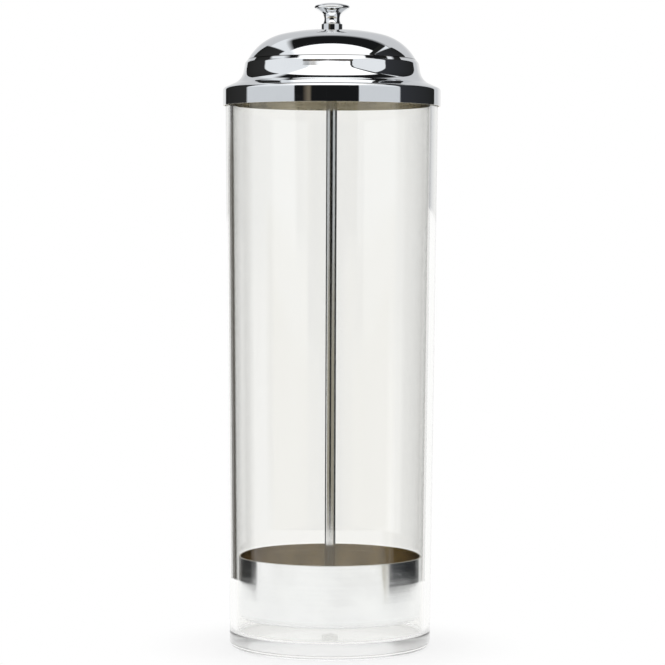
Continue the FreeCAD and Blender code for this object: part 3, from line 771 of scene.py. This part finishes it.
@dataclass
class LidShell(Piece):
    """The pressed lid, one sheet from the skirt's hem to the hole under the knob."""

    skirt_radius: float = 47.5
    skirt_depth: float = 7.5
    sheet: float = 0.8
    ledge_slope: float = 24.0
    band_slope: float = 10.3
    band_top: Pair = (37.9, 11.05)
    crease: Pair = (36.5, 12.75)
    skirt_round: float = 1.6
    cavetto_round: float = 7.2
    band_round: float = 1.3
    crease_round: float = 0.6
    shoulder_radius: float = 21.9
    crown_radius: float = 72.6
    foot_slope: float = 61.2
    land_radius: float = 5.19
    hole_radius: float = 2.15
    band_hollow: float = 0.05
    hollow_place: float = 0.72
    hollow_round: float = 60.0
    segments: int = 280

    def line(self, depth: float) -> np.ndarray:
        """The lid's line from the skirt's hem to the hole, at a depth below its outer face.

        Corners move by the depth, hollow rounds grow by it and proud rounds shrink by it. The
        crease's round touches the step and the shoulder, so its centre is where the step's line
        moved out by the round meets the shoulder's circle widened by it.

        Args:
            depth: The distance below the outer face, in millimetres.

        Returns:
            The line's points.
        """
        ledge, band = math.radians(self.ledge_slope), math.radians(self.band_slope)
        top = np.array(self.band_top)
        reach = self.skirt_radius - top[0]
        across = (reach * math.tan(ledge) - top[1]) * math.tan(band)
        foot = top[0] - across / (1 - math.tan(ledge) * math.tan(band))
        cavetto = (foot, (self.skirt_radius - foot) * math.tan(ledge))
        crease, cavetto = np.array(self.crease), np.array(cavetto)
        middle = cavetto + self.hollow_place * (top - cavetto) - [self.band_hollow, 0.0]
        hem, edge = (self.skirt_radius, -self.skirt_depth), (self.skirt_radius, 0.0)
        corners = np.array([hem, edge, cavetto, middle, top, crease])
        step = (crease - top) / np.linalg.norm(crease - top)
        proud = np.array([step[1], -step[0]])
        moved = shifted(corners, depth)
        radii = [0.0, self.skirt_round - depth, self.cavetto_round + depth, self.hollow_round + depth]
        radii += [self.band_round - depth, 0.0]

        slope = math.radians(self.foot_slope)
        shoulder = crease - self.shoulder_radius * np.array([math.sin(slope), math.cos(slope)])
        offset = crease + proud * self.crease_round - shoulder
        ahead = offset @ step
        apart = (self.shoulder_radius + self.crease_round) ** 2
        run = -ahead - math.sqrt(ahead**2 - (offset @ offset - apart))
        hollow = crease + proud * self.crease_round + run * step
        moved[-1] = hollow - proud * (self.crease_round + depth)
        body = eased(moved, radii, step=2.0)

        towards = np.degrees(np.arctan2(*(hollow - shoulder)[::-1]))
        away = np.degrees(np.arctan2(-proud[1], -proud[0]))
        start, end = away % 360, (towards + 180) % 360
        fold = arc(hollow, self.crease_round + depth, start, end, step=6.0)[1:]

        land_height = self.crown_height()
        crown = np.array([self.land_radius, land_height - self.crown_radius])
        joint = math.degrees(math.atan2(*(shoulder - crown)[::-1]))
        swell = arc(shoulder, self.shoulder_radius - depth, towards, joint, step=1.5)[1:]
        cap = arc(crown, self.crown_radius - depth, joint, 90.0, step=1.0)[1:]
        hole = np.array([[self.hole_radius, land_height - depth]])
        return np.concatenate([body, fold, swell, cap, hole])

    def crown_height(self) -> float:
        """Height of the crown's flat land, with the crown's arc tangent to the shoulder's."""
        slope = math.radians(self.foot_slope)
        inward = self.crease[0] - self.shoulder_radius * math.sin(slope) - self.land_radius
        rise = self.crease[1] - self.shoulder_radius * math.cos(slope)
        span = self.crown_radius - self.shoulder_radius
        return rise + self.crown_radius - math.sqrt(span**2 - inward**2)

    def surface(self) -> Surface:
        """Outer line up, inner line back down, and the hem between them, turned round the axis."""
        outer, inner = self.line(0.0), self.line(self.sheet)[::-1]
        section = held(np.concatenate([outer, inner]), reach=0.15, loop=True)
        return self.spun(section, self.segments, loop=True, base=self.skirt_depth)


@dataclass
class LidKnob(Piece):
    """The turned knob: collar, hollow neck, flared underside, round rim and domed top."""

    width: float = 15.5
    top_radius: float = 23.6
    rim_round: float = 0.88
    neck_width: float = 6.8
    neck_radius: float = 3.6
    waist_rise: float = 2.2
    flare_slope: float = 29.6
    collar_step: float = 0.5
    collar_height: float = 2.6
    collar_round: float = 0.22
    bore_radius: float = 2.05
    bore_depth: float = 7.0
    bore_round: float = 0.15
    segments: int = 144

    def surface(self) -> Surface:
        """Bore, collar, neck, flare, rim and top, turned round the axis."""
        neck = np.array([self.neck_width / 2 + self.neck_radius, self.collar_height + self.waist_rise])
        slope = math.radians(self.flare_slope)
        rim_radius = self.width / 2 - self.rim_round
        rise = self.neck_radius + self.rim_round + (rim_radius - neck[0]) * math.sin(slope)
        rim = np.array([rim_radius, neck[1] + rise / math.cos(slope)])
        hub = rim[1] - math.sqrt((self.top_radius - self.rim_round) ** 2 - rim_radius**2)
        over = math.degrees(math.atan2(rim[1] - hub, rim[0]))
        foot = math.sqrt(self.neck_radius**2 - self.waist_rise**2)
        foot_angle = math.degrees(math.atan2(-self.waist_rise, -foot)) % 360
        foot_radius = neck[0] - foot
        collar = foot_radius + self.collar_step
        bore, depth, high = self.bore_radius, self.bore_depth, self.collar_height
        corners = [(0.0, depth), (bore, depth), (bore, 0.0), (collar, 0.0), (collar, high)]
        radii = [0.0, 0.0, self.bore_round, self.collar_round, self.collar_round, 0.0]
        below = eased([*corners, (foot_radius, high)], radii, step=15.0)
        hollow = arc(neck, self.neck_radius, foot_angle, 90.0 + self.flare_slope)
        edge = arc(rim, self.rim_round, self.flare_slope - 90.0, over, step=6.0)
        top = arc((0.0, hub), self.top_radius, over, 90.0, step=1.5)[1:]
        section = held(np.concatenate([below, hollow[1:], edge, top]), reach=0.06)
        section[-1, 0] = 0.0
        return self.spun(section, self.segments, loop=False)


@dataclass
class LiftRod(Piece):
    """The lifting rod: a plain round bar, turned down to a stud with a rolled thread at each end."""

    radius: float = 2.4
    stud_radius: float = 2.0
    lower_shoulder: float = 14.4
    upper_shoulder: float = 263.61
    length: float = 267.31
    pitch: float = 0.7
    thread_depth: float = 0.4
    flank: float = 2.5
    tip: float = 0.4
    ease: float = 0.12
    runout: Pair = (0.15, 0.65)
    segments: int = 64
    rows_per_pitch: int = 12

    def thread(
        self, start: float, end: float, shoulder: float, turns: np.ndarray
    ) -> tuple[np.ndarray, np.ndarray]:
        """Radius and height of a threaded stretch.

        The radius falls from the stud's radius by the thread's depth times a triangle wave of
        height / pitch - turn / 360 degrees, as steep as flank and cut off at 0 and 1. The thread
        runs out between two distances from the shoulder, and tapers off at the tip.

        Args:
            start: The lower end's height.
            end: The upper end's height.
            shoulder: The height of the end that the rod's shoulder is at.
            turns: The angles round the axis, in radians.

        Returns:
            The radii and the heights, by row and turn.
        """
        rows = int((end - start) / self.pitch * self.rows_per_pitch)
        height = np.linspace(start, end, rows)[:, None] + 0 * turns[None]
        wave = (height / self.pitch - turns[None] / (2 * math.pi)) % 1.0
        groove = np.clip(self.flank / 2 - self.flank * np.abs(wave - 0.5), 0.0, 1.0)
        near, far = self.runout
        clear = np.clip((np.abs(height - shoulder) - near) / (far - near), 0.0, 1.0)
        free = start if shoulder == end else end
        taper = np.clip(1 - np.abs(height - free) / self.tip, 0.0, 1.0) * self.tip
        cut = self.thread_depth * groove * clear + (1 - clear) * self.ease
        return self.stud_radius - np.maximum(cut, taper), height

    def surface(self) -> Surface:
        """Foot, lower thread, bar, upper thread and top, row by row round the axis."""
        turns = full_turn(self.segments)
        foot, low, high = self.seat(), self.lower_shoulder, self.upper_shoulder
        top, root = foot + self.length, self.stud_radius - self.ease
        lower, lower_height = self.thread(foot, low, low, turns)
        upper, upper_height = self.thread(high, top, high, turns)
        corners = [(root, low), (self.radius, low), (self.radius, high), (root, high)]
        bar = eased(corners, [0.0, self.ease, self.ease, 0.0], step=15.0)[1:-1]
        bar = held(bar, reach=0.3)
        even = np.ones((1, self.segments))
        radius = [0 * even, lower, bar[:, :1] * even, upper, 0 * even]
        height = [foot * even, lower_height, bar[:, 1:] * even, upper_height, top * even]
        return wrapped(np.concatenate(radius), np.concatenate(height), turns, loop=False)


@dataclass
class StrawCup(Piece):
    """The drawn cup that lifts the straws: a thin wall, a round foot and a hole for the stud."""

    radius: float = 40.09
    height: float = 27.4
    sheet: float = 0.7
    foot_round: float = 3.4
    hole_radius: float = 2.15
    hole_round: float = 0.08
    rim_round: float = 0.16
    segments: int = 288

    def surface(self) -> Surface:
        """Underside, outer wall, rim, inner wall and floor, with the hole, as one closed section."""
        bore, hole = self.radius - self.sheet, self.hole_radius
        outside = [(hole, 0.0), (self.radius, 0.0), (self.radius, self.height)]
        inside = [(bore, self.height), (bore, self.sheet), (hole, self.sheet)]
        punched, rim, foot = self.hole_round, self.rim_round, self.foot_round
        radii = [punched, foot, rim, rim, foot - self.sheet, punched]
        section = held(eased(outside + inside, radii, loop=True, step=5.0), reach=0.3, loop=True)
        return self.spun(section, self.segments, loop=True)


@dataclass
class FlatRing(Piece):
    """A flat ring with a rectangular section and four eased corners."""

    radius: float = 4.5
    thickness: float = 0.8
    hole_radius: float = 2.15
    columns: int = 96

    def section(self, radii: Sequence[float], step: float) -> np.ndarray:
        """The rectangle from its inner foot round by its outer side.

        Args:
            radii: The round of each corner.
            step: The widest angle between two points of a round, in degrees.

        Returns:
            The section's points.
        """
        hole, rim, top = self.hole_radius, self.radius, self.thickness
        corners = [(hole, 0.0), (rim, 0.0), (rim, top), (hole, top)]
        return held(eased(corners, radii, loop=True, step=step), reach=0.1, loop=True)


@dataclass
class Washer(FlatRing):
    """A punched washer: its top edges are drawn in by the punch, its lower edges are crisp."""

    edge_rounds: tuple[float, ...] = (0.06, 0.06, 0.2, 0.15)

    def surface(self) -> Surface:
        """The ring's section turned round the axis."""
        return self.spun(self.section(self.edge_rounds, 15.0), self.columns, loop=True)


@dataclass
class LockWasher(FlatRing):
    """A split spring washer, pressed flat by its nut: a rectangular wire bent into an open ring."""

    radius: float = 3.5
    thickness: float = 0.9
    wire_round: float = 0.1
    split: float = 0.7

    def surface(self) -> Surface:
        """The wire's section carried round from one side of the split to the other.

        The two ends stay parallel to the split, so a point at radius r starts at the turn whose
        sine is half the split over r. Each end is closed by one face.
        """
        section = self.section([self.wire_round] * 4, 30.0)
        rows = len(section)
        start = np.arcsin(self.split / 2 / section[:, 0])[:, None]
        turn = start + np.linspace(0, 1, self.columns)[None] * (2 * math.pi - 2 * start)
        points = round_axis(section[:, :1] + 0 * turn, section[:, 1:] + self.seat(), turn)
        quads = grid_corners(rows, self.columns, wrap_rows=True, wrap_columns=False)
        ends = np.arange(rows) * self.columns
        corners = np.concatenate([quads.ravel(), ends, (ends + self.columns - 1)[::-1]])
        starts = np.concatenate([np.arange(len(quads)) * 4, [quads.size, quads.size + rows]])
        return points.reshape(-1, 3), corners, starts


@dataclass
class HexNut(Piece):
    """A hexagon nut with its corners turned off by a cone at both ends, and a countersunk thread."""

    flats: float = 7.0
    height: float = 3.2
    bore: float = 2.05
    sink: float = 0.3
    cone: float = 30.0
    bearing: float = 0.97
    corner_ease: float = 1.2

    def surface(self) -> Surface:
        """Rows from the bore out over both faces, on the hexagon's own radius for each turn.

        On a flat whose middle is at turn m, the radius at turn t is half the flats' width over
        cos(t - m). The cone lowers the face by tan(cone) for each millimetre beyond the bearing
        face, whose width is a share of the flats' width.
        """
        within = [-30 + self.corner_ease, *np.linspace(-24, 24, 7), 30 - self.corner_ease]
        within = np.radians(within)
        turns = (np.arange(6)[:, None] * math.pi / 3 + within[None]).ravel()
        across = (self.flats / 2) / np.cos(np.tile(within, 6))
        face, mouth = self.flats / 2 * self.bearing, self.bore + self.sink
        drop = np.maximum(across - face, 0) * math.tan(math.radians(self.cone))
        high, sink = self.height, self.sink
        radii = np.broadcast_arrays(self.bore, self.bore, mouth, face, across, across, face, mouth)
        heights = np.broadcast_arrays(high - sink, sink, 0.0, 0.0, drop, high - drop, high, high)
        return wrapped(np.stack(radii), np.stack(heights) + self.seat(), turns, loop=True)


def dispenser_pieces() -> list[Piece]:
    """Every piece of the dispenser, from the jar to the fasteners."""
    return [
        Jar("jar_moulding", "jar", Slot.JAR, Body.JAR, JAR_ACRYLIC),
        LidShell("lid_pressing", "lid_shell", Slot.LID, finish=LID_CHROME, dull_shaded_inside=LID_INSIDE_DULL_SHADED),
        LidKnob("knob_turning", "lid_knob", Slot.KNOB, finish=KNOB_CHROME),
        LiftRod("rod_and_studs", "lift_rod", Slot.ROD, finish=ROD_PLATING),
        StrawCup("cup_drawing", "straw_cup", Slot.CUP, Body.LIFT, CUP_STEEL, CUP_INSIDE_DULL_SHADED, -1.0),
        Washer("washer_under_crown", "lid_washer", Slot.FASTENER),
        LockWasher("split_washer", "lid_lock_washer", Slot.FASTENER),
        HexNut("nut_under_crown", "lid_nut", Slot.FASTENER),
        Washer("washer_on_cup_floor", "cup_top_washer", Slot.FASTENER),
        Washer("washer_under_cup", "cup_bottom_washer", Slot.FASTENER),
        HexNut("nut_under_cup", "cup_nut", Slot.FASTENER),
    ]


# Studio


@dataclass(frozen=True)
class Board:
    """A flat board in the studio, one unit from the object, with its edges in its own plane.

    The edges and their blurs are for its left, right, low and high side. Its far tone, if it has
    one, is that of its right edge.
    """

    axes: Axes
    edges: Sides
    tone: Colour
    far_tone: Colour | None = None
    blurs: Sides = (BLUR, BLUR, BLUR, BLUR)

    def over(self, graph: Graph, direction: Any, behind: Any) -> bpy.types.NodeSocket:
        """Lays the board over what lies behind it.

        Args:
            graph: The world's graph.
            direction: The direction looked in.
            behind: The colour without the board.

        Returns:
            The colour with the board.
        """
        tones = self.tone, self.far_tone or self.tone
        values = {"Direction": direction, "Behind": behind}
        values |= dict(zip((*AXES, *TONES, *EDGES), (*self.axes, *tones, *self.edges), strict=True))
        values |= {f"{edge} Blur": blur for edge, blur in zip(EDGES, self.blurs, strict=True)}
        return graph.add("Group", values, node_tree=board_group()).outputs["Seen"]


# The studio's tones, roughly from dark to bright
PITCH: Colour = (0.010, 0.0105, 0.011)
SOOT: Colour = (0.016, 0.0165, 0.0155)
INK: Colour = (0.03, 0.03, 0.03)
ASH: Colour = (0.034, 0.036, 0.041)
UMBER: Colour = (0.085, 0.072, 0.062)
TAUPE: Colour = (0.12, 0.112, 0.10)
DRAB: Colour = (0.17, 0.145, 0.108)
KHAKI: Colour = (0.42, 0.39, 0.31)
GREY: Colour = (0.62, 0.63, 0.645)
PALE: Colour = (0.655, 0.68, 0.705)
BRIGHT: Colour = (0.86, 0.885, 0.91)
BACKDROP: Colour = (0.88, 0.88, 0.875)
GLOW: Colour = (1.35, 1.35, 1.35)

# An edge too far out to be seen
FAR = 60.0


def wall(azimuth: float) -> Axes:
    """Out, right and up axes of an upright board, for degrees to the right of the camera."""
    sine, cosine = math.sin(math.radians(azimuth)), math.cos(math.radians(azimuth))
    return (sine, -cosine, 0.0), (cosine, sine, 0.0), (0.0, 0.0, 1.0)


def ceiling(turn: float) -> Axes:
    """Out, right and up axes of a level board overhead, turned in degrees from the camera's line."""
    sine, cosine = math.sin(math.radians(turn)), math.cos(math.radians(turn))
    return (0.0, 0.0, 1.0), (cosine, -sine, 0.0), (sine, cosine, 0.0)


# The two dark screens that meet a little left of the camera: the half width and top of each, then
# each one's turn and the blurs of its left and right edges, with the sharp ones where they meet
SCREEN_HALF = 0.306
SCREEN_TOP = 0.418
SCREENS = ((-22.6, 0.02, 0.001), (11.4, 0.001, 0.02))


def screens(foot: float, tone: Colour, foot_blur: float) -> tuple[Board, ...]:
    """Both screens from a height up to their top.

    Args:
        foot: The height of the low edges.
        tone: The tone of both.
        foot_blur: The blur of the low edges.

    Returns:
        The two boards, left one first.
    """
    edges = (-SCREEN_HALF, SCREEN_HALF, foot, SCREEN_TOP)
    return tuple(
        Board(wall(azimuth), edges, tone, blurs=(left, right, foot_blur, 0.01))
        for azimuth, left, right in SCREENS
    )


BOARDS = (
    Board(ceiling(0.0), (-FAR, FAR, 0.04, 0.72), PITCH, blurs=(0.03, 0.03, 0.03, 0.2)),
    Board(ceiling(0.0), (-FAR, FAR, -FAR, 0.04), GLOW),
    Board(ceiling(15.8), (-FAR, -0.63, -FAR, 0.8), BRIGHT, blurs=(0.03, 0.12, 0.03, 0.1)),
    Board(ceiling(-8.3), (0.777, FAR, -FAR, 0.6), BRIGHT),
    Board(ceiling(-8.3), (0.67, 0.79, -2.4, 0.55), SOOT, blurs=(0.02, 0.02, 0.02, 0.02)),
    Board(wall(-70.0), (-0.61, 0.61, -0.03, 0.14), PALE, blurs=(0.03, 0.03, 0.03, 0.2)),
    Board(wall(52.5), (-0.46, 0.46, -0.03, 0.14), PALE, blurs=(0.03, 0.03, 0.03, 0.2)),
    Board(wall(-90.0), (-1.8, -0.187, -0.5, 1.25), SOOT, INK, (0.03, 0.05, 0.03, 0.06)),
    Board(wall(-90.0), (-2.2, -1.15, -0.5, 0.06), TAUPE, blurs=(0.03, 0.2, 0.03, 0.03)),
    Board(wall(90.0), (-0.243, 1.12, -0.5, 1.25), ASH, SOOT, (0.03, 0.03, 0.03, 0.06)),
    Board(wall(0.0), (-4.0, 4.0, -0.45, -0.03), KHAKI, blurs=(0.03, 0.03, 0.2, 0.03)),
    Board(wall(0.0), (-0.49, 0.25, -0.25, 0.0), INK, blurs=(0.1, 0.1, 0.03, 0.02)),
    *screens(-0.03, PITCH, 0.02),
    *screens(0.37, UMBER, 0.04),
    Board(wall(-22.6), (-0.09, 0.01, -0.03, SCREEN_TOP), DRAB, blurs=(0.10, 0.04, 0.03, 0.03)),
)


@dataclass(frozen=True)
class Lamp:
    """A square soft lamp, aimed at the object's foot and seen only by the light that it gives."""

    name: str
    place: Colour
    size: float
    power: float

    def hang(self) -> None:
        """Adds the lamp to the scene."""
        light = bpy.data.lights.new(self.name, "AREA")
        light.size, light.energy = self.size, self.power
        lamp = bpy.data.objects.new(self.name, light)
        lamp.location = self.place
        lamp.rotation_euler = (-Vector(self.place)).to_track_quat("-Z", "Y").to_euler()
        lamp.visible_glossy = False
        lamp.visible_camera = False
        lamp.visible_transmission = False
        bpy.context.scene.collection.objects.link(lamp)


LAMPS = (
    Lamp("key_lamp", (-0.9, -1.1, 1.3), 0.9, 1.5),
    Lamp("fill_lamp", (1.1, -0.8, 1.1), 1.1, 1.0),
)


@dataclass
class Studio:
    """Plain floor, soft light, and the boards and screens that the bright metal mirrors.

    Lengths are in metres, the camera's roll and yaw in radians. The world's tones come in between
    two shares of the direction, up or away from the camera. The floor reaches out to floor_front
    within front_span, in degrees to the right of the camera's line, and to floor_side elsewhere.
    It glows white by shares between two distances from the axis, below the object and beyond it;
    that glow is painted light over the object's shadow on the floor.
    """

    focal_pixels: float = 2631.2
    image_pixels: float = 665.0
    distance: float = 1.1523
    camera_height: float = 0.18533
    pitch_pixels: float = 108.52
    roll: float = 0.0038
    yaw: float = 0.0006
    bright_rise: Pair = (0.05, 0.35)
    grey_away: Pair = (0.2, 0.5)
    backdrop_fall: Pair = (0.42, 0.02)
    backdrop_away: Pair = (0.82, 0.95)
    floor_side: float = 0.235
    floor_front: float = 0.45
    floor_drop: float = 0.02 * MM
    floor_tone: Colour = (0.86, 0.86, 0.86)
    front_span: Pair = (-94.0, 64.0)
    front_blend: float = 4.0
    floor_turns: int = 180
    floor_rings: int = 7
    ring_growth: float = 1.5
    below_span: Pair = (0.036, 0.0445)
    below_painted_light: Pair = (0.3, 0.77)
    beyond_span: Pair = (0.045, 0.09)
    beyond_painted_light: Pair = (0.0, 0.23)

    def light_world(self) -> None:
        """What lies beyond the floor: white for the camera, boards for what mirrors them.

        A ray that comes straight from the camera, or through clear acrylic alone, meets white. A
        ray scattered by a matt surface meets white as well. Any other ray meets the boards.
        """
        world = bpy.data.worlds.new("studio")
        bpy.context.scene.world = world
        world.use_nodes = True
        graph = Graph(world.node_tree)
        path = graph.add("LightPath").outputs
        direction = graph.add("TexCoord").outputs["Generated"]
        _, away, up = graph.shares(direction)
        seen = graph.mix(graph.ramp(up, self.bright_rise), PALE, BRIGHT)
        seen = graph.mix(graph.ramp(away, self.grey_away), seen, GREY)
        low, behind = graph.ramp(up, self.backdrop_fall), graph.ramp(away, self.backdrop_away)
        seen = graph.mix(graph.math("MULTIPLY", low, behind), seen, BACKDROP)
        seen = graph.mix(graph.math("LESS_THAN", up, 0.0), seen, WHITE)
        for board in BOARDS:
            seen = board.over(graph, direction, seen)
        scattered = graph.math("GREATER_THAN", path["Diffuse Depth"], 0.5)
        seen = graph.mix(scattered, seen, WHITE)
        mirrored = graph.math("ADD", path["Glossy Depth"], path["Diffuse Depth"])
        clear = graph.math("LESS_THAN", mirrored, 0.5)
        straight = graph.math("MULTIPLY", clear, path["Is Transmission Ray"])
        straight = graph.math("MAXIMUM", straight, path["Is Camera Ray"])
        background = world.node_tree.nodes["Background"]
        graph.feed(background, {"Color": graph.mix(straight, seen, WHITE)})

    def lay_floor(self) -> None:
        """A pale floor that keeps the object's shadow and fades into the white beyond it.

        The floor reaches farther towards the camera than to the sides, so that the cup's wall
        mirrors it in front and the studio's dark screens at both sides.
        """
        turns = full_turn(self.floor_turns)
        azimuth = (np.degrees(turns) + 90.0 + 180.0) % 360.0 - 180.0
        first, last = self.front_span
        front = np.clip((azimuth - first) / self.front_blend, 0, 1)
        front *= np.clip((last - azimuth) / self.front_blend, 0, 1)
        reach = self.floor_side + (self.floor_front - self.floor_side) * front
        rings = np.linspace(0.0, 1.0, self.floor_rings)[:, None] ** self.ring_growth
        radius = rings * reach[None] / MM
        floor = add_mesh("studio_floor", sheet_round_axis(radius, turns, -self.floor_drop / MM))
        floor.data.materials.append(self.floor_material())

    def floor_material(self) -> bpy.types.Material:
        """A matt floor with a white glow, painted light that grows away from the axis, for all but what
        it lights.
        """
        material, graph, shader, place = start_material("pale_floor")
        matt = {"Base Color": self.floor_tone, "Roughness": 0.9, "Specular IOR Level": 0.1}
        graph.feed(shader, matt)
        path = graph.add("LightPath").outputs
        reach = graph.add("VectorMath", {0: place}, operation="LENGTH").outputs["Value"]
        # Painted light: a white glow that lifts the floor's shade under and round the object
        beyond = graph.ramp(reach, self.beyond_span, self.beyond_painted_light)
        below = graph.ramp(reach, self.below_span, self.below_painted_light)
        seen = graph.math("ADD", path["Is Camera Ray"], path["Is Transmission Ray"], clamp=True)
        seen = graph.math("ADD", seen, path["Is Glossy Ray"], clamp=True)
        share = graph.math("MULTIPLY", graph.math("ADD", beyond, below), seen)
        glow = graph.add("Emission", {"Color": WHITE}).outputs[0]
        mixed = graph.add("MixShader", {0: share, 1: shader.outputs[0], 2: glow}).outputs[0]
        graph.feed(material.node_tree.nodes["Material Output"], {"Surface": mixed})
        return material

    def set_camera(self) -> None:
        """The photograph's camera: in front, a little above the middle, looking slightly down."""
        lens = bpy.data.cameras.new("camera")
        lens.sensor_width = 36.0
        lens.lens = self.focal_pixels * lens.sensor_width / self.image_pixels
        lens.clip_start, lens.clip_end = 0.01, 20.0
        camera = bpy.data.objects.new("camera", lens)
        pitch = math.atan(self.pitch_pixels / self.focal_pixels)
        aim = Euler((math.pi / 2 - pitch, 0.0, -self.yaw)).to_matrix()
        camera.rotation_euler = (aim @ Matrix.Rotation(self.roll, 3, "Z")).to_euler()
        camera.location = (0.0, -self.distance, self.camera_height)
        bpy.context.scene.collection.objects.link(camera)
        bpy.context.scene.camera = camera

    def build(self) -> None:
        """Sets up the world, the floor, the lamps, the camera and the plain view transform."""
        self.light_world()
        self.lay_floor()
        for lamp in LAMPS:
            lamp.hang()
        self.set_camera()
        scene = bpy.context.scene
        scene.view_settings.view_transform = "Standard"
        scene.cycles.max_bounces = 24
        scene.cycles.glossy_bounces = 12
        scene.cycles.transmission_bounces = 16


def main() -> None:
    """Builds and dresses each piece, sets up the studio and notes each piece's face count and body."""
    logging.basicConfig(level=logging.INFO, format="%(name)s: %(message)s")
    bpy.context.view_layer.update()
    materials: dict[str, bpy.types.Material] = {}
    for piece in dispenser_pieces():
        piece.place(materials)
    Studio().build()


if __name__ == "__main__":
    main()
